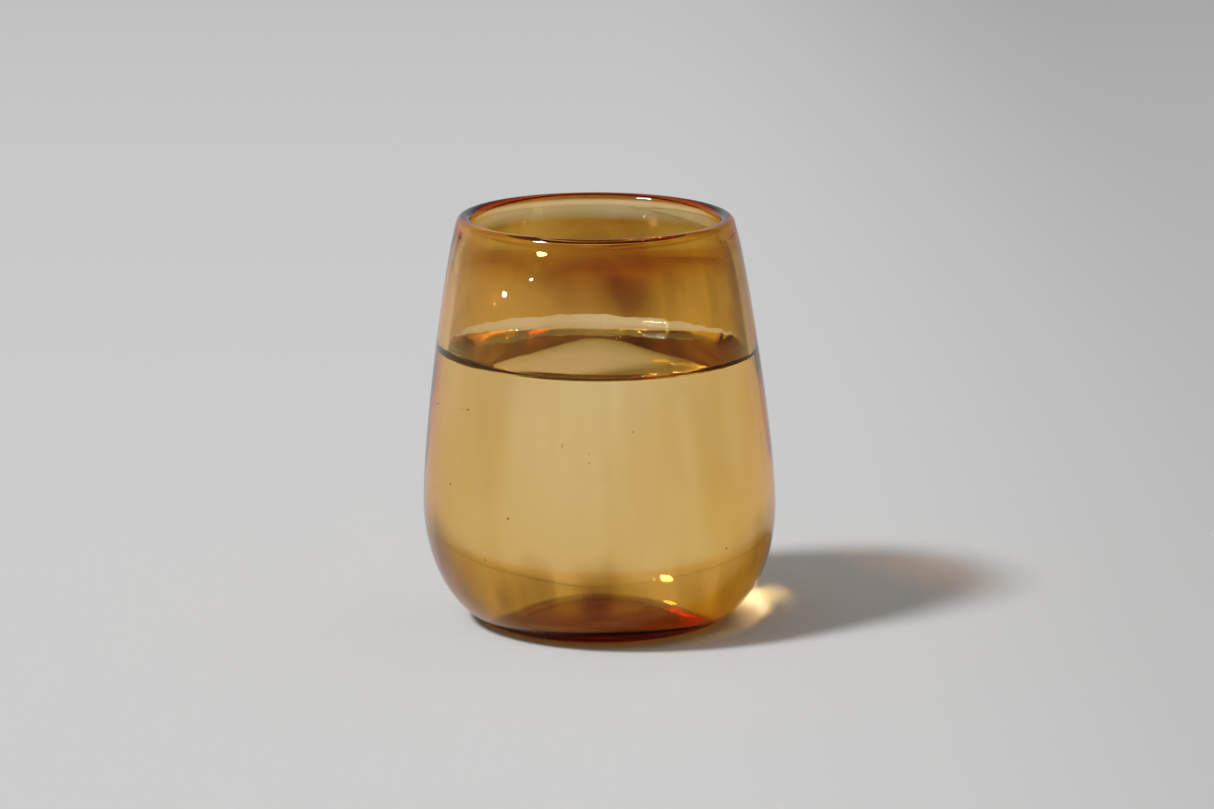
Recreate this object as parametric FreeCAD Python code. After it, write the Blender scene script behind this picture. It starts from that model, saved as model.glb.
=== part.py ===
"""A hand-blown amber glass tumbler with still water in it.

Two pieces: the tumbler, blown as one piece of glass with a pushed-up base and a rolled lip, and the
water that fills its hollow up to the fill line.

Millimetres, +Z up. The origin is on the table, under the middle of the foot. Every outline is drawn
in the half-plane y = 0, x being the distance from the axis, and is turned once round the axis.
"""
import FreeCAD, Part
import math
import os

# Driving sizes of the outside.
HEIGHT = 100.0  # table to the top of the lip
BELLY_RADIUS = 43.3  # widest outer radius
BELLY_HEIGHT = 28.7  # height of the widest place
FOOT_RADIUS = 25.3  # where the ground ring that stands on the table ends and the heel begins
FOOT_WIDTH = 4.9  # width of the ground ring
PUNT_DEPTH = 6.5  # how far the middle of the underside is pushed up
LIP_RADIUS = 34.0  # outer radius of the lip
LIP_LEAN = 16.0  # degrees that the wall leans inwards where it reaches the lip
BELLY_REACH = 14.6  # how strongly the wall keeps plumb above the belly
LIP_REACH = 12.7  # how strongly the wall keeps its lean below the lip

# Driving sizes of the glass's thickness.
WALL = 3.2  # side wall
BEAD_RADIUS = 2.0  # section radius of the rolled lip
BEAD_BLEND = 30.0  # hollow blend between the bead's underside and the inner wall
RING_THICKNESS = 5.0  # table to the lowest ring of the hollow
FLOOR_RADIUS = 26.0  # where the hollow's floor ends and its rounded corner begins
CROWN_THICKNESS = 4.5  # glass between the punt and the floor, on the axis
CROWN_REACH = 15.0  # how strongly the floor keeps level round its middle
RING_REACH = 6.0  # how strongly the floor keeps level inside its lowest ring

# Driving size of the water.
WATER_LEVEL = 65.6  # table to the water's surface

AXIS_START = FreeCAD.Vector(0.0, 0.0, 0.0)
AXIS = FreeCAD.Vector(0.0, 0.0, 1.0)


def point(radius, height):
    """A point of an outline, at a distance from the axis and a height above the table."""
    return FreeCAD.Vector(radius, 0.0, height)


def line(start, end):
    """A straight edge."""
    return Part.LineSegment(start, end).toShape()


def bezier(*poles):
    """A smooth edge that leaves its first point towards the second and ends away from the third."""
    curve = Part.BezierCurve()
    curve.setPoles(list(poles))
    return curve.toShape()


def quarter_ellipse(start, corner, end):
    """The quarter of an ellipse that rounds off the square corner between two points."""
    curve = Part.BezierCurve()
    curve.setPoles([start, corner, end])
    curve.setWeight(2, math.sqrt(0.5))
    return curve.toShape()


def dome(edge_radius, rise):
    """The round underside of the punt, from the foot's inner edge up to the axis."""
    sphere = (edge_radius ** 2 + rise ** 2) / (2.0 * rise)
    half_turn = math.asin(edge_radius / sphere) / 2.0
    middle = point(sphere * math.sin(half_turn), rise - sphere * (1.0 - math.cos(half_turn)))
    return Part.Arc(point(edge_radius, 0.0), middle, point(0.0, rise)).toShape()


def turned(edges):
    """The solid that a closed outline makes when it is turned once round the axis."""
    return Part.Face(Part.Wire(edges)).revolve(AXIS_START, AXIS, 360.0)


# The lip. Its bead is a circle that the outer wall meets without a step. The two directions below
# point out of the wall and along it, where it reaches the bead.
lean = math.radians(LIP_LEAN)
outward = point(math.cos(lean), math.sin(lean))
upward = point(-math.sin(lean), math.cos(lean))
bead_centre = point(LIP_RADIUS - BEAD_RADIUS, HEIGHT - BEAD_RADIUS)
outer_lip = bead_centre + outward * BEAD_RADIUS

# The hollow blend touches the inner wall's line and the bead's circle.
inner_offset = BEAD_RADIUS - WALL
blend_out = inner_offset - BEAD_BLEND
blend_down = math.sqrt((BEAD_RADIUS + BEAD_BLEND) ** 2 - blend_out ** 2)
blend_centre = bead_centre + outward * blend_out - upward * blend_down
inner_lip = blend_centre + outward * BEAD_BLEND
to_blend = (blend_centre - bead_centre) * (1.0 / (BEAD_RADIUS + BEAD_BLEND))
bead_end = bead_centre + to_blend * BEAD_RADIUS
blend_middle = blend_centre + (outward - to_blend).normalize() * BEAD_BLEND

# The outside, from the table up to the lip.
outer_belly = point(BELLY_RADIUS, BELLY_HEIGHT)
outer_heel = quarter_ellipse(point(FOOT_RADIUS, 0.0), point(BELLY_RADIUS, 0.0), outer_belly)
outer_side = bezier(
    outer_belly,
    outer_belly + AXIS * BELLY_REACH,
    outer_lip - upward * LIP_REACH,
    outer_lip,
)

# The hollow, from its floor's middle up to the lip.
inner_radius = BELLY_RADIUS - WALL
inner_belly = point(inner_radius, BELLY_HEIGHT)
floor_middle = point(0.0, PUNT_DEPTH + CROWN_THICKNESS)
floor_ring = point(FLOOR_RADIUS, RING_THICKNESS)
inner_floor = bezier(
    floor_middle,
    point(CROWN_REACH, floor_middle.z),
    point(FLOOR_RADIUS - RING_REACH, RING_THICKNESS),
    floor_ring,
)
inner_heel = quarter_ellipse(floor_ring, point(inner_radius, RING_THICKNESS), inner_belly)
inner_side = bezier(
    inner_belly,
    inner_belly + AXIS * BELLY_REACH,
    inner_lip - upward * LIP_REACH,
    inner_lip,
)
hollow = [inner_floor, inner_heel, inner_side]

# The underside.
foot_inner_radius = FOOT_RADIUS - FOOT_WIDTH
punt_middle = point(0.0, PUNT_DEPTH)
underside = [
    dome(foot_inner_radius, PUNT_DEPTH),
    line(point(foot_inner_radius, 0.0), point(FOOT_RADIUS, 0.0)),
]


def make_tumbler():
    """The whole tumbler: base, wall and lip are one blown piece."""
    bead = Part.Arc(outer_lip, bead_centre + AXIS * BEAD_RADIUS, bead_end).toShape()
    blend = Part.Arc(bead_end, blend_middle, inner_lip).toShape()
    middle = line(floor_middle, punt_middle)
    return turned(underside + [outer_heel, outer_side, bead, blend] + hollow[::-1] + [middle])


def make_water():
    """The water, which takes the shape of the hollow and ends level at the fill line."""
    lid_middle = point(0.0, inner_lip.z)
    filled_hollow = turned(hollow + [line(inner_lip, lid_middle), line(lid_middle, floor_middle)])
    below_surface = Part.makeCylinder(BELLY_RADIUS, WATER_LEVEL)
    return filled_hollow.common(below_surface)


def save(shape, node):
    """Write one piece as parts/NODE.step, after a look at its soundness."""
    solid = shape.Solids[0]
    if len(shape.Solids) != 1 or not solid.isValid():
        raise ValueError(node + " is not one sound solid")
    solid.exportStep("parts/" + node + ".step")
    print(node, "volume", round(solid.Volume / 1000.0, 1), "ml")


os.makedirs("parts", exist_ok=True)
save(make_tumbler(), "tumbler_glass")
save(make_water(), "still_water")
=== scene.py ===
"""The looks of a hand-blown amber glass tumbler that is two thirds full of still water.

The glass is one turned outline with the small unevenness of blown glass and seeds inside its wall.
The water fills the hollow and climbs the wall in a meniscus. All lengths are in metres, +Z up.
"""
import math

import bpy
import numpy as np
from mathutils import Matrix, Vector


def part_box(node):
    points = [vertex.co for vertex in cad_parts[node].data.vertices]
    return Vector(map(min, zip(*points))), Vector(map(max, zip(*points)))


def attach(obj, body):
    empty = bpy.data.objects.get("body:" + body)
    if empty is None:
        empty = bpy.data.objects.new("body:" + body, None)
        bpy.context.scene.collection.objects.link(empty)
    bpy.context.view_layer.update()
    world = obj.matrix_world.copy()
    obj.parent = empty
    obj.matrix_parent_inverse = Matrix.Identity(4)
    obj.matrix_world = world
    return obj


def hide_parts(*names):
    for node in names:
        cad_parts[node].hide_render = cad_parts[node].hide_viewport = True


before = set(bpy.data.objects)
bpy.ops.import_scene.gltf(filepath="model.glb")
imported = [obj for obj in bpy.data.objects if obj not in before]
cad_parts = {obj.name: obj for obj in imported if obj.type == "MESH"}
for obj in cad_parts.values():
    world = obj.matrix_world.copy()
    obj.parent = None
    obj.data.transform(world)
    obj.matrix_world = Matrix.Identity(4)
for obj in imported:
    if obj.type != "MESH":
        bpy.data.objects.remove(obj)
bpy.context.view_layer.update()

GLASS_LOW, GLASS_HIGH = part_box("tumbler_glass")
WATER_LOW, WATER_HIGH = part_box("still_water")

bl_info = {
    "name": "Amber Tumbler",
    "version": (1, 0, 0),
    "blender": (4, 5, 0),
    "location": "3D View > Sidebar > Tumbler",
    "description": "Makes a blown amber tumbler, the water in it and a plain studio",
    "category": "Add Mesh",
}

MM = 0.001
FULL_TURN = 2.0 * math.pi


# ---------------------------------------------------------------------------------------------
# Settings
# ---------------------------------------------------------------------------------------------

def length(label, text, default):
    """A length that a user may change."""
    return bpy.props.FloatProperty(
        name=label, description=text, default=default, unit="LENGTH", precision=5, min=0.0
    )


def number(label, text, default):
    """A plain number."""
    return bpy.props.FloatProperty(name=label, description=text, default=default, min=0.0)


def angle(label, text, degrees):
    """An angle, given here in degrees."""
    return bpy.props.FloatProperty(
        name=label, description=text, default=math.radians(degrees), subtype="ANGLE"
    )


def colour(label, text, default):
    """A linear colour."""
    return bpy.props.FloatVectorProperty(
        name=label, description=text, default=default, subtype="COLOR", size=3, min=0.0, max=1.0
    )


class TumblerSizes(bpy.types.PropertyGroup):
    """Sizes of the blown glass."""

    height: length("Height", "Table to the top of the lip", GLASS_HIGH.z)
    belly_radius: length("Belly radius", "Widest outer radius", GLASS_HIGH.x)
    belly_height: length("Belly height", "Height of the widest place", 28.7 * MM)
    foot_radius: length("Foot radius", "Outer radius of the ground ring", 25.3 * MM)
    foot_width: length("Foot width", "Width of the ground ring", 4.9 * MM)
    foot_round: length("Foot rounding", "Rounding of the ring's inner edge", 1.2 * MM)
    punt_depth: length("Punt depth", "How far the underside is pushed up", 6.5 * MM)
    lip_radius: length("Lip radius", "Outer radius of the lip", 34.0 * MM)
    lip_lean: angle("Lip lean", "Lean of the wall where it reaches the lip", 16.0)
    belly_reach: length("Belly reach", "How strongly the wall keeps plumb", 14.6 * MM)
    lip_reach: length("Lip reach", "How strongly the wall keeps its lean", 12.7 * MM)
    wall: length("Wall", "Thickness of the side wall", GLASS_HIGH.x - WATER_HIGH.x)
    bead_radius: length("Bead radius", "Section radius of the rolled lip", 2.0 * MM)
    bead_blend: length("Bead blend", "Hollow blend below the bead", 30.0 * MM)
    ring_thickness: length("Ring thickness", "Table to the hollow's lowest ring", WATER_LOW.z)
    crown_thickness: length("Crown thickness", "Glass on the axis", 4.5 * MM)
    floor_radius: length("Floor radius", "Where the hollow's floor ends", 26.0 * MM)
    crown_reach: length("Crown reach", "How strongly the floor's crown keeps level", 15.0 * MM)
    ring_reach: length("Ring reach", "How strongly the floor's edge keeps level", 6.0 * MM)
    lean: angle("Lean", "Lean of the blown body to the left", 0.85)
    unevenness: length("Unevenness", "How far the blown walls wander", 0.05 * MM)
    cords: length("Cords", "Height of the fine upright cords in the wall", 0.004 * MM)


class GlassFinish(bpy.types.PropertyGroup):
    """Finish of the amber glass."""

    ior: number("IOR", "Index of refraction of soda glass", 1.5)
    amber: colour("Amber", "Colour that the glass lets through", (0.98, 0.71, 0.03))
    density: number("Density", "How strongly a metre of glass absorbs", 250.0)
    # The dry wall's tints below darken its back, with darker streaks, spots and lip top there.
    dry_front: colour("Dry front", "Extra amber of the dry wall's front", (0.9, 0.85, 0.9))
    dry_back: colour("Dry back", "Extra amber of the dry wall's back", (0.68, 0.32, 0.085))
    streak: colour("Streak", "Extra amber of the thick streaks in the dry wall", (0.34, 0.13, 0.12))
    patch: colour("Patch", "Extra amber of the thick patches in the dry wall", (0.2, 0.19, 0.25))
    rim: colour("Rim", "Extra amber of the lip's round top at the back", (0.52, 0.3, 0.2))
    cloud: colour("Cloud", "Extra amber of the faint upright clouds in the wall", (0.86, 0.78, 0.6))
    base: colour("Base", "Extra amber of the pushed-up base", (0.5, 1.0, 0.06))
    # Painted shade: darkens the edge of the pushed-up base, where it meets the ring.
    crease: colour("Crease", "Extra amber round the edge of the pushed-up base", (0.45, 0.4, 0.3))
    # Painted shade: the foot's ring is darkened nearly to black, for the table's shadow seen through
    # it.
    ring: colour("Ring", "Extra amber of the foot's ring", (0.03, 0.05, 0.01))
    lip: colour("Lip", "Extra amber just under the lip", (0.72, 0.45, 0.12))
    # Painted shade: the front below the belly is darkened.
    belly: colour("Belly", "Extra amber of the front below the belly", (0.97, 0.83, 0.68))
    # Painted shade: dark spots in the heel.
    heel: colour("Heel", "Extra amber of the thick places in the heel", (0.22, 0.15, 0.15))
    # Painted shadow: a dark upright line on the right of the dry wall, for the table's shadow seen
    # through the glass.
    shadow_line: colour("Cord", "Extra amber of the one thick cord", (0.3, 0.17, 0.09))
    # Painted shade: the dry wall's two sides are darkened towards their edges, the right more than the
    # left.
    left: colour("Left", "Extra amber of the dry wall's left side", (0.84, 0.68, 0.5))
    right: colour("Right", "Extra amber of the dry wall's right side", (0.62, 0.42, 0.26))


class WaterSizes(bpy.types.PropertyGroup):
    """Sizes and finish of the water."""

    level: length("Level", "Table to the flat middle of the surface", WATER_HIGH.z)
    climb: length("Climb", "How far the meniscus climbs the wall", 2.8 * MM)
    capillary: length("Capillary length", "The length that sets a meniscus's shape", 2.0 * MM)
    scallops: length("Scallops", "How far the wetted edge wanders", 0.2 * MM)
    tilt: length("Tilt", "How much higher the wetted edge is on the left", 0.55 * MM)
    wetting: length("Wetting", "How far the water's mesh reaches into the glass", 0.05 * MM)
    ior: number("IOR", "Index of refraction of water", 1.33)


class StudioSettings(bpy.types.PropertyGroup):
    """The plain studio round the object, its lights and its camera."""

    floor_colour: colour("Floor", "Colour of the pale floor", (0.6, 0.6, 0.6))
    # Painted shade: the floor is darker to the right and far back, away from the key light.
    floor_shade_right: colour("Floor right", "Colour of the floor on the right", (0.44, 0.44, 0.44))
    floor_shade_back: colour("Floor back", "How much deeper the floor is far back", (0.75, 0.75, 0.75))
    floor_radius: length("Floor radius", "Radius of the round floor", 6.5)
    sky: colour("Sky", "Colour of the soft light from all round", (0.42, 0.42, 0.42))
    sky_left: number("Sky left", "How much brighter the soft light is on the left", 1.1)
    sky_right: number("Sky right", "How bright the soft light is on the right", 0.7)
    sky_horizon: number("Sky horizon", "How much brighter the soft light is low down", 1.2)
    sky_top: number("Sky top", "How bright the soft light is overhead", 0.9)
    key_power: number("Key power", "Light of the key on a square metre, in watts", 2.5)
    key_spread: angle("Key spread", "How wide the key light looks from the object", 10.0)
    key_turn: angle("Key turn", "From the camera's side towards the left", 63.0)
    key_rise: angle("Key rise", "Height of the key light above the horizon", 52.0)
    camera_distance: length("Camera distance", "Along the floor to the camera", 1.204)
    camera_height: length("Camera height", "Table to the lens", 0.3184)
    camera_side: length("Camera side", "How far the camera stands to the right", 1.8 * MM)
    camera_pitch: angle("Camera pitch", "How far the camera looks down", 12.43)
    camera_lens: number("Lens", "Focal length in millimetres", 149.6)


# ---------------------------------------------------------------------------------------------
# Outline
# ---------------------------------------------------------------------------------------------

AROUND = 288  # steps round the axis
TURNS = (FULL_TURN * np.arange(AROUND) / AROUND)[None, :]  # the angle of each step
QUARTER_ELLIPSE = (1.0, math.sqrt(0.5), 1.0)  # weights that make a curve a quarter of an ellipse

# How many points each stretch of the outline has.
DOME_POINTS = 26
ROUNDING_POINTS = 8
RING_POINTS = 4
HEEL_POINTS = 40
SIDE_POINTS = 70
BEAD_POINTS = 28
BLEND_POINTS = 14
INNER_SIDE_POINTS = 120
FLOOR_POINTS = 30
LIP_RINGS = BEAD_POINTS + BLEND_POINTS - 2  # both share their first point with what comes before


def curve(poles, count, weights=None):
    """Points of a Bezier curve with these poles."""
    poles = np.array(poles, float)
    weights = np.ones(len(poles)) if weights is None else np.array(weights, float)
    along = np.linspace(0.0, 1.0, count)[:, None]
    order = len(poles) - 1
    terms = [math.comb(order, i) * along**i * (1.0 - along) ** (order - i) for i in range(order + 1)]
    blend = np.hstack(terms) * weights
    return (blend @ poles) / blend.sum(axis=1)[:, None]


def arc(centre, radius, start, end, count):
    """Points of an arc between two angles, in radians."""
    turn = np.linspace(start, end, count)
    return np.stack([centre[0] + radius * np.cos(turn), centre[1] + radius * np.sin(turn)], axis=1)


def direction(vector):
    """The angle of a vector in the outline's plane."""
    return math.atan2(vector[1], vector[0])


class Outline:
    """The glass's outline in (radius, height), as the inside and the outside of one wall."""

    def __init__(self, s):
        outward = np.array([math.cos(s.lip_lean), math.sin(s.lip_lean)])
        upward = np.array([-outward[1], outward[0]])
        bead_centre = np.array([s.lip_radius - s.bead_radius, s.height - s.bead_radius])
        outer_lip = bead_centre + outward * s.bead_radius

        blend_out = s.bead_radius - s.wall - s.bead_blend
        reach = s.bead_radius + s.bead_blend
        blend_centre = bead_centre + outward * blend_out - upward * math.sqrt(reach**2 - blend_out**2)
        inner_lip = blend_centre + outward * s.bead_blend
        to_blend = blend_centre - bead_centre
        bead_end = direction(to_blend) % FULL_TURN
        bead = arc(bead_centre, s.bead_radius, s.lip_lean, bead_end, BEAD_POINTS)
        blend = arc(blend_centre, s.bead_blend, direction(-to_blend), s.lip_lean, BLEND_POINTS)

        belly = np.array([s.belly_radius, s.belly_height])
        inner_radius = s.belly_radius - s.wall
        inner_belly = np.array([inner_radius, s.belly_height])
        plumb = np.array([0.0, s.belly_reach])
        slant = upward * s.lip_reach
        heel_poles = [(s.foot_radius, 0.0), (s.belly_radius, 0.0), belly]
        heel = curve(heel_poles, HEEL_POINTS, QUARTER_ELLIPSE)
        side = curve([belly, belly + plumb, outer_lip - slant, outer_lip], SIDE_POINTS)
        inner_poles = [inner_belly, inner_belly + plumb, inner_lip - slant, inner_lip]
        self.inner_side = curve(inner_poles, INNER_SIDE_POINTS)
        corner = (inner_radius, s.ring_thickness)
        inner_heel_poles = [(s.floor_radius, s.ring_thickness), corner, inner_belly]
        self.inner_heel = curve(inner_heel_poles, HEEL_POINTS, QUARTER_ELLIPSE)
        crown = s.punt_depth + s.crown_thickness
        self.floor = curve(
            [
                (0.0, crown),
                (s.crown_reach, crown),
                (s.floor_radius - s.ring_reach, s.ring_thickness),
                (s.floor_radius, s.ring_thickness),
            ],
            FLOOR_POINTS,
        )
        self.outside = joined([self.underside(s), heel, side, bead, blend])

    def underside(self, s):
        """The punt's round dome and the ground ring, with the edge between them rounded off."""
        edge = s.foot_radius - s.foot_width
        sphere = (edge**2 + s.punt_depth**2) / (2.0 * s.punt_depth)
        half_angle = math.asin(edge / sphere)
        centre = (0.0, s.punt_depth - sphere)
        stop = half_angle - s.foot_round / sphere
        dome = arc(centre, sphere, math.pi / 2.0, math.pi / 2.0 - stop, DOME_POINTS)
        rounding = curve([dome[-1], (edge, 0.0), (edge + s.foot_round, 0.0)], ROUNDING_POINTS)
        ring = curve([(edge + s.foot_round, 0.0), (s.foot_radius, 0.0)], RING_POINTS)
        return joined([dome, rounding, ring])

    def inner_radius_at(self, height):
        """The hollow's radius at a height above the belly."""
        return np.interp(height, self.inner_side[:, 1], self.inner_side[:, 0])


def joined(stretches):
    """Several stretches of an outline as one, without the doubled points where they meet."""
    return np.vstack([stretches[0]] + [stretch[1:] for stretch in stretches[1:]])


# ---------------------------------------------------------------------------------------------
# Hand-made shape
# ---------------------------------------------------------------------------------------------

# Each wave: turns round the axis, turns per metre of height, phase, share of the unevenness.
OUTER_WAVES = (
    (2, 3.0, 0.4, 1.0),
    (3, 9.0, 2.1, 0.7),
    (5, 14.0, 4.0, 0.4),
    (4, 23.0, 1.2, 0.3),
)
INNER_WAVES = (
    (2, 4.0, 2.9, 1.0),
    (3, 12.0, 0.3, 0.9),
    (5, 20.0, 5.1, 0.6),
    (7, 31.0, 3.3, 0.3),
)
CORD_WAVES = ((29, 3.0, 0.7, 1.0), (41, -2.0, 2.2, 0.8), (67, 1.0, 4.4, 0.6))
# Turns round the axis, phase and share of the scallops along the wetted edge.
EDGE_WAVES = ((5, 0.6, 0.9), (11, 2.3, 0.8), (19, 4.1, 0.7), (34, 1.1, 0.5), (57, 3.0, 0.35))
SIDE_SCALLOPS = 0.6  # share of the scallops at the sides; the back has all and the front few


def waves(turns, heights, table):
    """How far a wall wanders at each angle and height, as a share of its unevenness."""
    total = np.zeros(np.broadcast(turns, heights).shape)
    for around, up, phase, part in table:
        total += part * np.sin(around * turns + up * FULL_TURN * heights + phase)
    return total


def fade_in(radii, heights, s):
    """Brings the unevenness in above the foot, which is ground flat, and away from the axis."""
    above_foot = np.clip((heights - 0.5 * s.ring_thickness) / s.ring_thickness, 0.0, 1.0)
    return above_foot * np.clip(radii / s.foot_radius, 0.0, 1.0)


def lean_shift(height, s):
    """How far the leaning body has moved sideways at a height."""
    return -math.tan(s.lean) * (height - s.belly_height)


def on_axis(height, s):
    """The point of the leaning axis at a height."""
    return (lean_shift(height, s), 0.0, height)


def place(radii, heights, turns, s, outside):
    """Turns (radius, height) into points, with the unevenness and the lean of a blown glass."""
    table = OUTER_WAVES if outside else INNER_WAVES
    wander = s.unevenness * waves(turns, heights, table)
    if outside:
        wander = wander - s.unevenness * sum(part for *_, part in table)
    wander = wander + s.cords * waves(turns, heights, CORD_WAVES)
    radii = radii + fade_in(radii, heights, s) * wander
    across = radii * np.cos(turns) + lean_shift(heights, s)
    return np.stack(np.broadcast_arrays(across, radii * np.sin(turns), heights), axis=-1)


def wetted_edge(turns, w):
    """The height at which the water's surface meets the wall, all round."""
    total = np.zeros(turns.shape)
    for around, phase, part in EDGE_WAVES:
        total += part * np.sin(around * turns + phase)
    liveliness = SIDE_SCALLOPS + (1.0 - SIDE_SCALLOPS) * np.sin(turns)
    return w.level + w.climb + w.scallops * liveliness * total - w.tilt * np.cos(turns)


# ---------------------------------------------------------------------------------------------
# Meshes
# ---------------------------------------------------------------------------------------------

KNIFE_EDGE = math.radians(50.0)  # a fold sharper than this isn't shaded smooth


def turned_faces(ring_count, around):
    """Faces of a closed turned surface: first pole, rings, last pole."""
    steps = np.arange(around)
    following = (steps + 1) % around
    last = 1 + ring_count * around
    top = last - around
    faces = [(0, 1 + b, 1 + a) for a, b in zip(steps, following)]
    for low in range(1, top, around):
        high = low + around
        faces += zip(low + steps, low + following, high + following, high + steps)
    faces += [(top + a, top + b, last) for a, b in zip(steps, following)]
    return [tuple(int(corner) for corner in face) for face in faces]


def closed_surface(first, rings, last):
    """Points and faces of a closed turned surface: first pole, rings, last pole."""
    points = np.vstack([first, rings.reshape(-1, 3), last])
    return points, turned_faces(rings.shape[0], rings.shape[1])


def add_object(name, points, faces, material):
    """A smooth mesh object with one material."""
    mesh = bpy.data.meshes.new(name)
    mesh.from_pydata([tuple(point) for point in points], [], faces)
    mesh.shade_smooth()
    mesh.set_sharp_from_angle(angle=KNIFE_EDGE)
    mesh.materials.append(material)
    piece = bpy.data.objects.new(name, mesh)
    bpy.context.scene.collection.objects.link(piece)
    return piece


# ---------------------------------------------------------------------------------------------
# Seeds in the glass
# ---------------------------------------------------------------------------------------------

# Degrees from the front towards the right, height and radius in millimetres, and upward stretch.
SEEDS = (
    (-31.0, 33.1, 0.32, 0.8),
    (-12.0, 51.7, 0.16, 4.0),
    (-58.0, 38.3, 0.28, 1.2),
    (-3.0, 50.0, 0.15, 1.0),
    (-3.0, 47.7, 0.17, 1.0),
    (12.0, 55.0, 0.20, 1.0),
    (46.0, 24.2, 0.26, 1.1),
    (10.0, 39.5, 0.13, 1.0),
    (8.0, 34.6, 0.15, 1.0),
    (27.0, 60.0, 0.12, 1.6),
    (-41.0, 22.0, 0.18, 1.0),
    (71.0, 47.0, 0.16, 1.3),
    (118.0, 36.0, 0.22, 1.0),
    (152.0, 58.0, 0.15, 2.0),
    (171.0, 84.0, 0.20, 1.0),
    (186.0, 88.0, 0.13, 1.0),
    (203.0, 44.0, 0.18, 1.0),
    (263.0, 27.0, 0.24, 1.0),
    (288.0, 52.0, 0.12, 1.0),
)
# Flat seeds, slanted so that they flash the key light towards the camera's place: degrees, height
# and radius.
FLAT_SEEDS = ((-37.0, 86.0, 0.8), (-25.5, 90.3, 0.5))
FLATNESS = 0.06  # a flat seed's thickness as a share of its width
SEED_RINGS = 9
SEED_AROUND = 16


def cavity(size, stretch):
    """An egg-shaped bubble round the origin, as points and as faces that look into it."""
    lift = math.pi * np.arange(1, SEED_RINGS + 1)[:, None] / (SEED_RINGS + 1)
    turn = FULL_TURN * np.arange(SEED_AROUND)[None, :] / SEED_AROUND
    axes = (np.sin(lift) * np.cos(turn), np.sin(lift) * np.sin(turn), -stretch * np.cos(lift))
    rings = np.stack(np.broadcast_arrays(*axes), axis=-1)
    points, faces = closed_surface((0.0, 0.0, -stretch), rings, (0.0, 0.0, stretch))
    return size * points, [face[::-1] for face in faces]


def seed_centre(outline, s, degrees, height):
    """The middle of the wall at an angle from the front and a height."""
    turn = math.radians(degrees - 90.0)
    inner = joined([outline.inner_heel, outline.inner_side])
    radius = np.interp(height, inner[:, 1], inner[:, 0]) + 0.5 * s.wall
    return place(np.array(radius), np.array(height), np.array(turn), s, False)


def round_seeds(outline, s):
    """Points and faces of each seed that is round or drawn out."""
    for degrees, height, size, stretch in SEEDS:
        points, faces = cavity(size * MM, stretch)
        yield points + seed_centre(outline, s, degrees, height * MM), faces


def into_glass(towards, normal, ior):
    """Where light from a direction outside the glass comes from once it is inside."""
    across = (towards - normal * towards.dot(normal)) / ior
    return across + normal * math.sqrt(1.0 - across.length_squared)


def flat_seeds(outline, s, ior, studio):
    """Points and faces of each flat seed, a bubble squashed into a disc that works as a mirror."""
    for degrees, height, size in FLAT_SEEDS:
        centre = Vector(seed_centre(outline, s, degrees, height * MM))
        above = Vector(seed_centre(outline, s, degrees, (height + 1.0) * MM))
        around = Vector((-centre.y, centre.x, 0.0)).normalized()
        normal = around.cross((above - centre).normalized())
        to_key = into_glass(key_direction(studio), normal, ior)
        to_camera = into_glass((camera_place(studio) - centre).normalized(), normal, ior)
        facing = np.array((to_key + to_camera).normalized())
        points, faces = cavity(size * MM, 1.0)
        points = points - np.outer(points @ facing, facing) * (1.0 - FLATNESS)
        yield points + np.array(centre), faces


# ---------------------------------------------------------------------------------------------
# Materials
# ---------------------------------------------------------------------------------------------

WHITE = (1.0, 1.0, 1.0)
MIX_COLOURS = (6, 7)  # the inputs of a Mix node that take colours
MIX_RESULT = 2  # and the output that gives one
BLOT_CORE = 0.2  # share of a soft spot's reach that has its full strength


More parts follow.
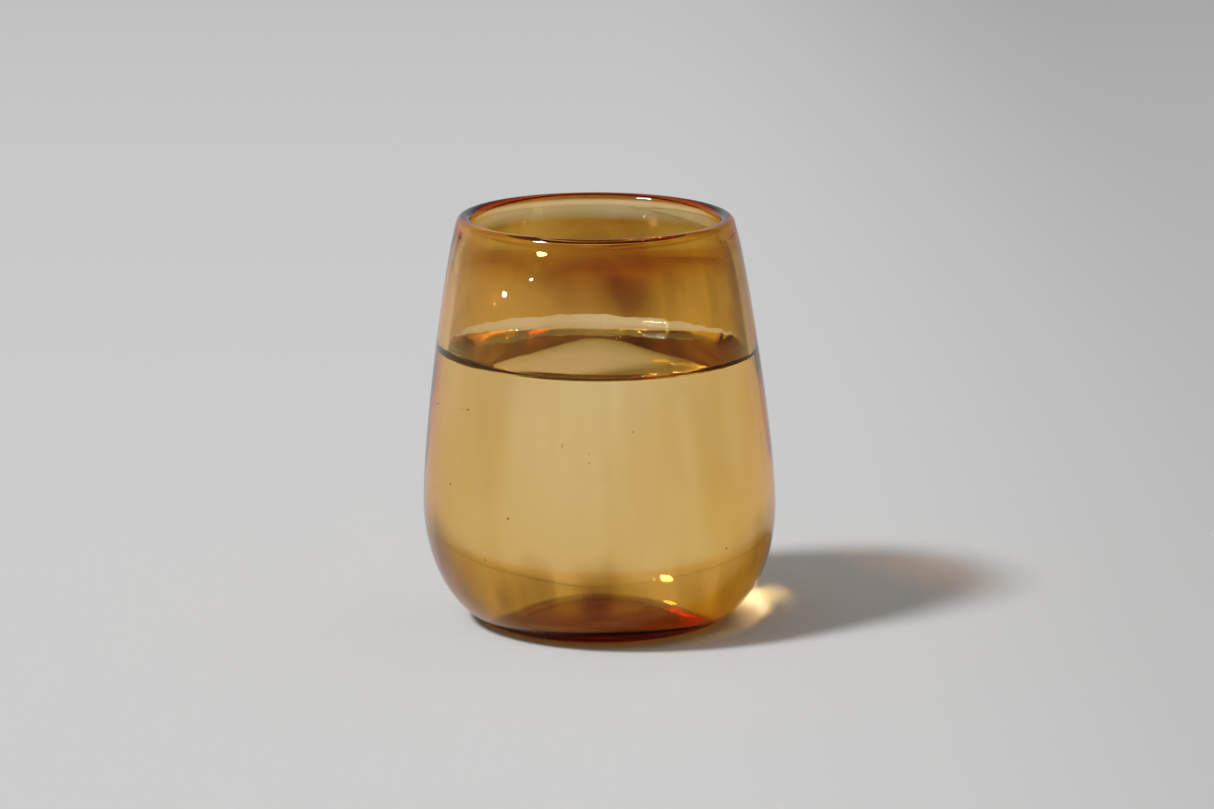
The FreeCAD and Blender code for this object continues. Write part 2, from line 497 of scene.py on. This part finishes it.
class Nodes:
    """Short calls for adding and linking the nodes of a material or of the world."""

    def __init__(self, owner):
        owner.use_nodes = True
        self.tree = owner.node_tree

    def add(self, kind, **settings):
        """A node with its own settings."""
        node = self.tree.nodes.new(kind)
        for name, value in settings.items():
            setattr(node, name, value)
        return node

    def link(self, source, target):
        """Joins an output to an input."""
        self.tree.links.new(source, target)

    def fill(self, sockets, values):
        """Gives each input its value, or joins it to the value that is an output."""
        for socket, value in zip(sockets, values):
            if isinstance(value, bpy.types.NodeSocket):
                self.link(value, socket)
            else:
                socket.default_value = value

    def axes(self, vector):
        """The three parts of a vector."""
        split = self.add("ShaderNodeSeparateXYZ")
        self.link(vector, split.inputs["Vector"])
        return tuple(split.outputs)

    def stored(self, name):
        """A number that the mesh stores at each point."""
        return self.add("ShaderNodeAttribute", attribute_name=name).outputs["Fac"]

    def calculate(self, operation, *values):
        """A number worked out from others."""
        node = self.add("ShaderNodeMath", operation=operation)
        self.fill(node.inputs, values)
        return node.outputs["Value"]

    def calculate_vector(self, operation, *values, result="Vector"):
        """A vector, or a number, worked out from vectors."""
        node = self.add("ShaderNodeVectorMath", operation=operation)
        self.fill(node.inputs, values)
        return node.outputs[result]

    def times(self, *values):
        """The product of several numbers."""
        product = values[0]
        for value in values[1:]:
            product = self.calculate("MULTIPLY", product, value)
        return product

    def most(self, values):
        """The largest of several numbers."""
        largest = values[0]
        for value in values[1:]:
            largest = self.calculate("MAXIMUM", largest, value)
        return largest

    def ramp(self, value, low, high, start=0.0, end=1.0):
        """Eases a value from start to end while it goes from low to high."""
        node = self.add("ShaderNodeMapRange", interpolation_type="SMOOTHSTEP")
        sockets = [node.inputs[name] for name in ("Value", "From Min", "From Max", "To Min", "To Max")]
        self.fill(sockets, (value, low, high, start, end))
        return node.outputs["Result"]

    def blot(self, where, centre, size, strength):
        """A soft spot that fades from its strength to 0 at a distance, along each axis."""
        offset = self.calculate_vector("SUBTRACT", where, centre)
        scaled = self.calculate_vector("DIVIDE", offset, size)
        away = self.calculate_vector("LENGTH", scaled, result="Value")
        return self.ramp(away, BLOT_CORE, 1.0, strength, 0.0)

    def mix(self, amount, first, second, blend="MIX"):
        """A mix of two colours, each a colour or an output."""
        node = self.add("ShaderNodeMix", data_type="RGBA", blend_type=blend)
        self.link(amount, node.inputs["Factor"])
        for index, value in zip(MIX_COLOURS, (first, second)):
            opaque = value if isinstance(value, bpy.types.NodeSocket) else (*value, 1.0)
            self.fill([node.inputs[index]], [opaque])
        return node.outputs[MIX_RESULT]

    def deepen(self, tint, layers):
        """A tint under layers of extra colour, each as (how much, colour)."""
        for amount, colour in layers:
            tint = self.mix(amount, tint, colour, "MULTIPLY")
        return tint


def clear_shader(nodes, ior):
    """Sets the Principled shader to clear, polished and fully transmitting, and returns it."""
    shader = nodes.tree.nodes["Principled BSDF"]
    shader.inputs["Transmission Weight"].default_value = 1.0
    shader.inputs["Roughness"].default_value = 0.0
    shader.inputs["IOR"].default_value = ior
    return shader


# Soft spots of darker tint: centre, reach along each axis, and strength. Those on the dry wall darken
# its back; those in the heel are painted shade.
WALL_HAZE = ((0.001, 0.034, 0.084), (0.034, 0.02, 0.036), 0.8)
WALL_SPOTS = (
    ((0.006, 0.034, 0.0745), (0.018, 0.02, 0.013), 1.0),
    ((-0.005, 0.034, 0.083), (0.022, 0.02, 0.009), 0.6),
    ((0.012, 0.032, 0.091), (0.014, 0.02, 0.013), 0.45),
    ((-0.022, 0.026, 0.091), (0.006, 0.02, 0.012), 0.6),
    ((0.025, 0.028, 0.080), (0.007, 0.02, 0.024), 0.5),
)
# Painted shade in the heel.
HEEL_SHADE_SPOTS = (
    ((0.001, -0.038, 0.0140), (0.013, 0.016, 0.012), 0.75),
    ((-0.038, -0.012, 0.0130), (0.013, 0.034, 0.017), 0.75),
    ((0.040, -0.012, 0.0205), (0.010, 0.034, 0.014), 0.6),
    ((-0.020, -0.034, 0.0140), (0.004, 0.014, 0.011), 0.45),
    ((0.022, -0.033, 0.0150), (0.005, 0.014, 0.012), 0.35),
    ((0.033, -0.024, 0.0170), (0.004, 0.014, 0.012), 0.35),
)

# Faint clouds in the wall, drawn out upwards.
CLOUD_STRETCH = (1.0, 1.0, 0.22)
CLOUD_SCALE = 55.0
CLOUD_DETAIL = 2.0
CLOUD_EDGES = (0.42, 0.7)
CLOUD_STREAKS = 0.5  # how strongly the clouds show as streaks in the dry wall
RAGGED = (0.040, 0.040, 0.024)  # how far the clouds push the dark spots about, along each axis

# From where to where the other darker places fade, as a share of the size in brackets or as a length.
BASE_TOP = (2.5, 3.5)  # the base's amber upwards (ring thickness)
RING_TOP = (0.3, 1.3)  # the ring's painted shade upwards (ring thickness)
RING_SOLE = (0.0, 0.35)  # the ring's painted shade at its sole, where it is lighter (ring thickness)
SOLE_SHARE = 0.1
CREASE_RISE = (12.0 * MM, 17.0 * MM)  # the painted shade round the base's edge comes in, going out from the axis
CREASE_FALL = (20.0 * MM, 24.0 * MM)  # and fades again
BELLY_PLANE = (0.0, -0.143, 1.0)  # the painted shade below the belly ends at a plane that dips towards the front
BELLY_DROP = (2.2 * MM, 1.4 * MM)  # below the widest place
LIP_DROP = (16.0 * MM, 6.0 * MM)  # the amber under the lip comes in at these depths below the top
DRY_FOOT = (0.66, 0.70)  # the painted shade of the dry wall's sides and the painted shadow line, downwards (height)
SIDE_REACH = 19.0 * MM  # how far the sides' painted shade goes to the front and the back
SIDE_EDGE = 10.0 * MM  # and over what width it fades in from the middle
SHADOW_LINE_RISE = (math.radians(103.0), math.radians(109.0))  # the painted shadow line's edges, clockwise from the back
SHADOW_LINE_FALL = (math.radians(111.0), math.radians(118.0))


class GlassPlaces:
    """Where a point of the glass is, as outputs that its amber is worked out from."""

    def __init__(self, nodes, s):
        self.where = nodes.add("ShaderNodeTexCoord").outputs["Object"]
        self.x, self.y, self.z = nodes.axes(self.where)
        level = nodes.calculate_vector("MULTIPLY", self.where, (1.0, 1.0, 0.0))
        self.from_axis = nodes.calculate_vector("LENGTH", level, result="Value")
        self.dry = nodes.stored("dryness")
        self.inside = nodes.stored("inside")
        self.rim = nodes.stored("rim")
        reach = 0.5 * s.lip_radius
        self.behind = nodes.ramp(self.y, -reach, reach)
        self.front = nodes.ramp(self.y, -reach, reach, 1.0, 0.0)
        self.high = nodes.ramp(self.z, DRY_FOOT[0] * s.height, DRY_FOOT[1] * s.height)


def make_clouds(nodes, where):
    """Clouds drawn out upwards: how strong they are, and places that they have pushed about."""
    stretched = nodes.add("ShaderNodeMapping")
    stretched.inputs["Scale"].default_value = CLOUD_STRETCH
    nodes.link(where, stretched.inputs["Vector"])
    clouds = nodes.add("ShaderNodeTexNoise")
    clouds.inputs["Scale"].default_value = CLOUD_SCALE
    clouds.inputs["Detail"].default_value = CLOUD_DETAIL
    nodes.link(stretched.outputs["Vector"], clouds.inputs["Vector"])
    pushed = nodes.calculate_vector("MULTIPLY_ADD", clouds.outputs["Color"], RAGGED, where)
    centred = nodes.calculate_vector("SUBTRACT", pushed, tuple(0.5 * push for push in RAGGED))
    return nodes.ramp(clouds.outputs["Fac"], *CLOUD_EDGES), centred


def wall_tint(nodes, finish, s, at, clouds, pushed):
    """The amber of the side wall, dry above the wetted edge and wet below it."""
    spots = nodes.most([nodes.blot(pushed, *spot) for spot in WALL_SPOTS])
    streaks = nodes.most([nodes.times(clouds, CLOUD_STREAKS), nodes.blot(at.where, *WALL_HAZE)])
    under_lip = nodes.ramp(at.z, s.height - LIP_DROP[0], s.height - LIP_DROP[1])
    dry = nodes.deepen(
        nodes.mix(at.behind, finish.dry_front, finish.dry_back),
        (
            (nodes.times(at.behind, streaks), finish.streak),
            (nodes.times(at.behind, spots), finish.patch),
            (nodes.times(at.behind, at.rim), finish.rim),
            (nodes.times(at.front, under_lip), finish.lip),
        ),
    )
    wet = nodes.mix(nodes.times(at.inside, clouds), WHITE, finish.cloud)
    return nodes.mix(at.dry, wet, dry)


def low_layers(nodes, finish, s, at, pushed):
    """Extra amber of the base, and painted shade in its crease, on its ring, on the front below the
    belly and in the heel.
    """
    thick = s.ring_thickness
    low = nodes.ramp(at.z, BASE_TOP[0] * thick, BASE_TOP[1] * thick, 1.0, 0.0)
    middle = nodes.ramp(at.from_axis, s.foot_radius, s.floor_radius + s.ring_reach, 1.0, 0.0)
    crease = nodes.times(
        nodes.ramp(at.from_axis, *CREASE_RISE), nodes.ramp(at.from_axis, *CREASE_FALL, 1.0, 0.0)
    )
    ring = nodes.times(
        nodes.ramp(at.z, RING_TOP[0] * thick, RING_TOP[1] * thick, 1.0, 0.0),
        nodes.ramp(at.z, RING_SOLE[0] * thick, RING_SOLE[1] * thick, SOLE_SHARE, 1.0),
    )
    slanted = nodes.calculate_vector("DOT_PRODUCT", at.where, BELLY_PLANE, result="Value")
    drop = [s.belly_height - fall for fall in BELLY_DROP]
    below = nodes.ramp(slanted, *drop, 1.0, 0.0)
    return (
        (nodes.times(low, middle, at.inside), finish.base),
        (nodes.times(low, crease), finish.crease),
        (ring, finish.ring),
        (nodes.times(below, at.front), finish.belly),
        (nodes.most([nodes.blot(pushed, *spot) for spot in HEEL_SHADE_SPOTS]), finish.heel),
    )


def high_layers(nodes, finish, at):
    """Painted shade: a shadow line seen through the right of the dry wall, and the dry wall's two
    sides darkened.
    """
    facing = nodes.calculate("ARCTAN2", at.x, at.y)
    shadow_line = nodes.times(nodes.ramp(facing, *SHADOW_LINE_RISE), nodes.ramp(facing, *SHADOW_LINE_FALL, 1.0, 0.0))
    beside = nodes.ramp(nodes.calculate("ABSOLUTE", at.y), 0.0, SIDE_REACH, 1.0, 0.0)
    side = nodes.times(at.high, beside)
    return (
        (nodes.times(shadow_line, at.high, at.inside), finish.shadow_line),
        (nodes.times(side, nodes.ramp(at.x, -SIDE_EDGE, 0.0, 1.0, 0.0)), finish.left),
        (nodes.times(side, nodes.ramp(at.x, 0.0, SIDE_EDGE)), finish.right),
    )


def make_amber_glass(finish, s):
    """Blown amber glass: absorbs with its thickness, is tinted darker on the dry wall, and has painted
    shade in the heel, the base and the wall's sides.
    """
    material = bpy.data.materials.new("amber_glass")
    nodes = Nodes(material)
    shader = clear_shader(nodes, finish.ior)
    absorb = nodes.add("ShaderNodeVolumeAbsorption")
    absorb.inputs["Color"].default_value = (*finish.amber, 1.0)
    absorb.inputs["Density"].default_value = finish.density
    nodes.link(absorb.outputs["Volume"], nodes.tree.nodes["Material Output"].inputs["Volume"])

    at = GlassPlaces(nodes, s)
    clouds, pushed = make_clouds(nodes, at.where)
    tint = wall_tint(nodes, finish, s, at, clouds, pushed)
    tint = nodes.deepen(tint, low_layers(nodes, finish, s, at, pushed))
    tint = nodes.deepen(tint, high_layers(nodes, finish, at))
    nodes.link(tint, shader.inputs["Base Color"])
    return material


def make_water_material(w):
    """Clear still water."""
    material = bpy.data.materials.new("clear_water")
    shader = clear_shader(Nodes(material), w.ior)
    shader.inputs["Base Color"].default_value = (*WHITE, 1.0)
    return material


FLOOR_SHADE_RIGHT = (0.0, 0.22)  # from where to where painted shade darkens the floor to the right, in metres
FLOOR_SHADE_BACK = (0.0, 1.8)  # and to the back


def make_floor_material(studio):
    """Pale matt paper, with painted shade that darkens it to the right and far back, away from the key
    light.
    """
    material = bpy.data.materials.new("studio_paper")
    nodes = Nodes(material)
    shader = nodes.tree.nodes["Principled BSDF"]
    shader.inputs["Roughness"].default_value = 1.0
    shader.inputs["Specular IOR Level"].default_value = 0.0
    right, back, _ = nodes.axes(nodes.add("ShaderNodeTexCoord").outputs["Object"])
    paper = nodes.mix(nodes.ramp(right, *FLOOR_SHADE_RIGHT), studio.floor_colour, studio.floor_shade_right)
    paper = nodes.deepen(paper, ((nodes.ramp(back, *FLOOR_SHADE_BACK), studio.floor_shade_back),))
    nodes.link(paper, shader.inputs["Base Color"])
    return material


SKY_ACROSS = (-0.8, 0.9)  # from where to where the soft light changes, left to right
SKY_UP = (0.0, 0.8)  # and from the horizon up


def make_soft_light(studio):
    """Soft light from all round, a little stronger on the left and low down."""
    world = bpy.data.worlds.new("soft_light")
    nodes = Nodes(world)
    across, _, up = nodes.axes(nodes.add("ShaderNodeTexCoord").outputs["Generated"])
    strength = nodes.times(
        nodes.ramp(across, *SKY_ACROSS, studio.sky_left, studio.sky_right),
        nodes.ramp(up, *SKY_UP, studio.sky_horizon, studio.sky_top),
    )
    background = nodes.tree.nodes["Background"]
    background.inputs["Color"].default_value = (*studio.sky, 1.0)
    nodes.link(strength, background.inputs["Strength"])
    return world


# ---------------------------------------------------------------------------------------------
# Blown glass
# ---------------------------------------------------------------------------------------------

EDGE_STEP = 0.05 * MM  # how far above and below the wetted edge its two rings lie
EDGE_PULL = 8.0 * MM  # how far from the wetted edge the inner rings still follow its scallops

# Marks along the lip, which the glass's amber reads: how far round it, from its outer side over its
# top to the inner wall; and there how deep its amber is, where its inside is, and where its top is.
LIP_PLACES = (0.0, 0.1, 0.48, 0.56, 0.72, 0.88)
LIP_MARKS = {
    "dryness": (0.0, 1.0, 1.0, 0.15, 0.3, 1.0),
    "inside": (0.0, 0.0, 0.0, 0.5, 1.0, 1.0),
    "rim": (0.0, 1.0, 1.0, 0.0, 0.0, 0.0),
}


def outer_rings(outline, s):
    """Rings of the outside, from the foot up and over the lip."""
    radii, heights = outline.outside[1:, :1], outline.outside[1:, 1:]
    as_outer = place(radii, heights, TURNS, s, True)
    as_inner = place(radii, heights, TURNS, s, False)
    # The lip hands over smoothly from the outer wall's unevenness to the inner wall's.
    swap = np.zeros((len(radii), 1, 1))
    swap[-LIP_RINGS:, 0, 0] = np.linspace(0.0, 1.0, LIP_RINGS)
    return as_outer * (1.0 - swap) + as_inner * swap


def inner_rings(outline, s, w):
    """Rings of the inside, from below the lip down to the floor, and how dry each one is."""
    stretches = (outline.inner_side, outline.inner_heel, outline.floor)
    inside = joined([stretch[::-1] for stretch in stretches])[1:-1]
    nominal = w.level + w.climb
    # Two close rings at the wetted edge carry the step from dry to wet glass.
    dry = inside[:, 1] > nominal
    edge_heights = np.array([nominal + EDGE_STEP, nominal - EDGE_STEP])
    edge = np.stack([outline.inner_radius_at(edge_heights), edge_heights], axis=1)
    inside = np.vstack([inside[dry], edge, inside[~dry]])
    radii, heights = inside[:, :1], inside[:, 1:]
    follow = np.clip(1.0 - np.abs(heights - nominal) / EDGE_PULL, 0.0, 1.0)
    follow = follow * (heights > s.belly_height)
    moved = heights + follow * (wetted_edge(TURNS, w) - nominal)
    moved_radii = np.where(follow > 0.0, outline.inner_radius_at(moved), radii)
    return place(moved_radii, moved, TURNS, s, False), (inside[:, 1] > nominal).astype(float)


def mark_glass(piece, outer_count, dryness):
    """Stores the marks that the glass's amber reads, at each point of the blown body."""
    below_lip = {"dryness": dryness, "inside": np.ones(len(dryness)), "rim": np.zeros(len(dryness))}
    for name, along_lip in LIP_MARKS.items():
        outer = np.zeros(outer_count)
        outer[-LIP_RINGS:] = np.interp(np.linspace(0.0, 1.0, LIP_RINGS), LIP_PLACES, along_lip)
        marks = np.concatenate([outer, below_lip[name]])
        values = np.zeros(len(piece.data.vertices))
        last = 1 + AROUND * len(marks)
        values[1:last] = np.repeat(marks, AROUND)
        values[last] = marks[-1]
        store = piece.data.attributes.new(name, "FLOAT", "POINT")
        store.data.foreach_set("value", values)


class TUMBLER_OT_blow_glass(bpy.types.Operator):
    """Make the blown glass tumbler with its seeds"""

    bl_idname = "tumbler.blow_glass"
    bl_label = "Blow the glass"

    def execute(self, context):
        s = context.scene.tumbler_sizes
        finish = context.scene.tumbler_finish
        outline = Outline(s)
        outer = outer_rings(outline, s)
        inner, dryness = inner_rings(outline, s, context.scene.tumbler_water)
        crown = s.punt_depth + s.crown_thickness
        rings = np.concatenate([outer, inner])
        points, faces = closed_surface(on_axis(s.punt_depth, s), rings, on_axis(crown, s))
        flat = flat_seeds(outline, s, finish.ior, context.scene.tumbler_studio)
        for seed_points, seed_faces in (*round_seeds(outline, s), *flat):
            faces += [tuple(len(points) + corner for corner in face) for face in seed_faces]
            points = np.vstack([points, seed_points])

        piece = add_object("blown_tumbler", points, faces, make_amber_glass(finish, s))
        mark_glass(piece, len(outer), dryness)
        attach(piece, "root")
        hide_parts("tumbler_glass")
        return {"FINISHED"}


# ---------------------------------------------------------------------------------------------
# Water
# ---------------------------------------------------------------------------------------------

WALL_STEPS = 59  # from the belly up to the wetted edge
MENISCUS_POINTS = 26
MENISCUS_END = 0.004  # the meniscus is flat once it is this share of its climb above the level
FLAT_STEPS = 15  # from the meniscus's end to the axis


def meniscus(climb, capillary):
    """Distances from the wall and heights of a still meniscus, from its edge down to the level."""
    heights = climb * np.geomspace(1.0, MENISCUS_END, MENISCUS_POINTS)

    def reach(height):
        slope = np.sqrt(4.0 - (height / capillary) ** 2)
        return capillary * (np.arccosh(2.0 * capillary / height) - slope)

    return reach(heights) - reach(climb), heights


def water_against_glass(outline, s, w, edge):
    """Rings of the water against the floor, the heel and the wall, from the middle up."""
    low = joined([outline.floor, outline.inner_heel])[1:]
    low_rings = place(low[:, :1] + w.wetting, low[:, 1:] - w.wetting, TURNS, s, False)
    share_up = np.linspace(0.0, 1.0, WALL_STEPS + 1)[1:, None]
    heights = s.belly_height + share_up * (edge - s.belly_height)
    radii = outline.inner_radius_at(heights) + w.wetting
    return np.concatenate([low_rings, place(radii, heights, TURNS, s, False)])


def water_surface(outline, s, w, edge):
    """Rings of the surface, down the meniscus and over the flat towards the axis."""
    away, rise = meniscus(w.climb, w.capillary)
    heights = w.level + rise[:, None] * ((edge - w.level) / w.climb)
    radii = outline.inner_radius_at(edge) - away[:, None]
    flat = np.linspace(1.0, 0.0, FLAT_STEPS + 1)[1:-1, None] * radii[-1]
    radii = np.vstack([radii[1:], flat])
    heights = np.vstack([heights[1:], np.full(flat.shape, w.level)])
    return place(radii, heights, TURNS, s, False)


class TUMBLER_OT_pour_water(bpy.types.Operator):
    """Make the still water with its meniscus"""

    bl_idname = "tumbler.pour_water"
    bl_label = "Pour the water"

    def execute(self, context):
        s = context.scene.tumbler_sizes
        w = context.scene.tumbler_water
        outline = Outline(s)
        edge = wetted_edge(TURNS, w)
        rings = np.concatenate(
            [water_against_glass(outline, s, w, edge), water_surface(outline, s, w, edge)]
        )
        crown = s.punt_depth + s.crown_thickness - w.wetting
        points, faces = closed_surface(on_axis(crown, s), rings, on_axis(w.level, s))

        piece = add_object("poured_water", points, faces, make_water_material(w))
        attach(piece, "root")
        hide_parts("still_water")
        return {"FINISHED"}


# ---------------------------------------------------------------------------------------------
# Stage
# ---------------------------------------------------------------------------------------------

FLOOR_CORNERS = 96
# Scene light and how bright it is shown: deep tones go deeper and middle tones a little lighter.
TONES = (
    (0.02, 0.005),
    (0.04, 0.015),
    (0.07, 0.046),
    (0.12, 0.122),
    (0.33, 0.355),
    (0.5, 0.535),
    (0.6, 0.61),
)
ALL_CHANNELS = 3  # the tone curve that works on red, green and blue together


def key_direction(studio):
    """Towards the key light."""
    along_floor = math.cos(studio.key_rise)
    return Vector(
        (
            -math.sin(studio.key_turn) * along_floor,
            -math.cos(studio.key_turn) * along_floor,
            math.sin(studio.key_rise),
        )
    )


def camera_place(studio):
    """Where the camera stands."""
    return Vector((studio.camera_side, -studio.camera_distance, studio.camera_height))


def make_floor(studio):
    """A large round pale floor."""
    turns = FULL_TURN * np.arange(FLOOR_CORNERS) / FLOOR_CORNERS
    level = np.zeros(FLOOR_CORNERS)
    points = np.stack([np.cos(turns), np.sin(turns), level], axis=1) * studio.floor_radius
    face = tuple(range(FLOOR_CORNERS))
    add_object("studio_floor", points, [face], make_floor_material(studio))


def make_lights(scene, studio):
    """One key light like a small window on the left, and soft light from all round."""
    towards = key_direction(studio)
    lamp = bpy.data.lights.new("key_light", "SUN")
    lamp.angle = studio.key_spread
    lamp.energy = studio.key_power
    key = bpy.data.objects.new("key_light", lamp)
    key.location = towards
    key.rotation_euler = towards.to_track_quat("Z", "Y").to_euler()
    scene.collection.objects.link(key)
    scene.world = make_soft_light(studio)


def make_camera(scene, studio):
    """A long lens that looks down at the tumbler from the front."""
    lens = bpy.data.cameras.new("camera")
    lens.lens = studio.camera_lens
    camera = bpy.data.objects.new("camera", lens)
    camera.location = camera_place(studio)
    camera.rotation_euler = (0.5 * math.pi - studio.camera_pitch, 0.0, 0.0)
    scene.collection.objects.link(camera)
    scene.camera = camera


def set_view(scene):
    """How scene light is shown, and how far light is followed through the glass."""
    scene.view_settings.view_transform = "Standard"
    scene.view_settings.use_curve_mapping = True
    tone = scene.view_settings.curve_mapping
    for light, shown in TONES:
        tone.curves[ALL_CHANNELS].points.new(light, shown)
    tone.update()
    scene.cycles.max_bounces = 24
    scene.cycles.transmission_bounces = 24
    scene.cycles.glossy_bounces = 16
    scene.cycles.diffuse_bounces = 4
    scene.cycles.caustics_refractive = True
    scene.cycles.caustics_reflective = True
    scene.cycles.blur_glossy = 0.0
    scene.cycles.sample_clamp_indirect = 0.0


class TUMBLER_OT_set_stage(bpy.types.Operator):
    """Make the pale floor, the lights and the camera"""

    bl_idname = "tumbler.set_stage"
    bl_label = "Set the stage"

    def execute(self, context):
        studio = context.scene.tumbler_studio
        make_floor(studio)
        make_lights(context.scene, studio)
        make_camera(context.scene, studio)
        set_view(context.scene)
        return {"FINISHED"}


class TUMBLER_PT_sidebar(bpy.types.Panel):
    """Lists the tumbler's settings and the buttons that make it"""

    bl_idname = "TUMBLER_PT_sidebar"
    bl_label = "Amber Tumbler"
    bl_space_type = "VIEW_3D"
    bl_region_type = "UI"
    bl_category = "Tumbler"

    def draw(self, context):
        for name in GROUPS:
            group = getattr(context.scene, name)
            box = self.layout.box()
            for setting in group.bl_rna.properties.keys():
                if setting not in ("rna_type", "name"):
                    box.prop(group, setting)
        for operator in OPERATORS:
            self.layout.operator(operator.bl_idname)


GROUPS = {
    "tumbler_sizes": TumblerSizes,
    "tumbler_finish": GlassFinish,
    "tumbler_water": WaterSizes,
    "tumbler_studio": StudioSettings,
}
OPERATORS = (TUMBLER_OT_blow_glass, TUMBLER_OT_pour_water, TUMBLER_OT_set_stage)
CLASSES = (*GROUPS.values(), *OPERATORS, TUMBLER_PT_sidebar)


def register():
    """Adds the classes and the scene's settings."""
    for item in CLASSES:
        bpy.utils.register_class(item)
    for name, group in GROUPS.items():
        setattr(bpy.types.Scene, name, bpy.props.PointerProperty(type=group))


def unregister():
    """Takes away what register added."""
    for name in GROUPS:
        delattr(bpy.types.Scene, name)
    for item in reversed(CLASSES):
        bpy.utils.unregister_class(item)


def main():
    """Makes the stage, the glass and the water."""
    register()
    bpy.ops.tumbler.set_stage()
    bpy.ops.tumbler.blow_glass()
    bpy.ops.tumbler.pour_water()


if __name__ == "__main__":
    main()
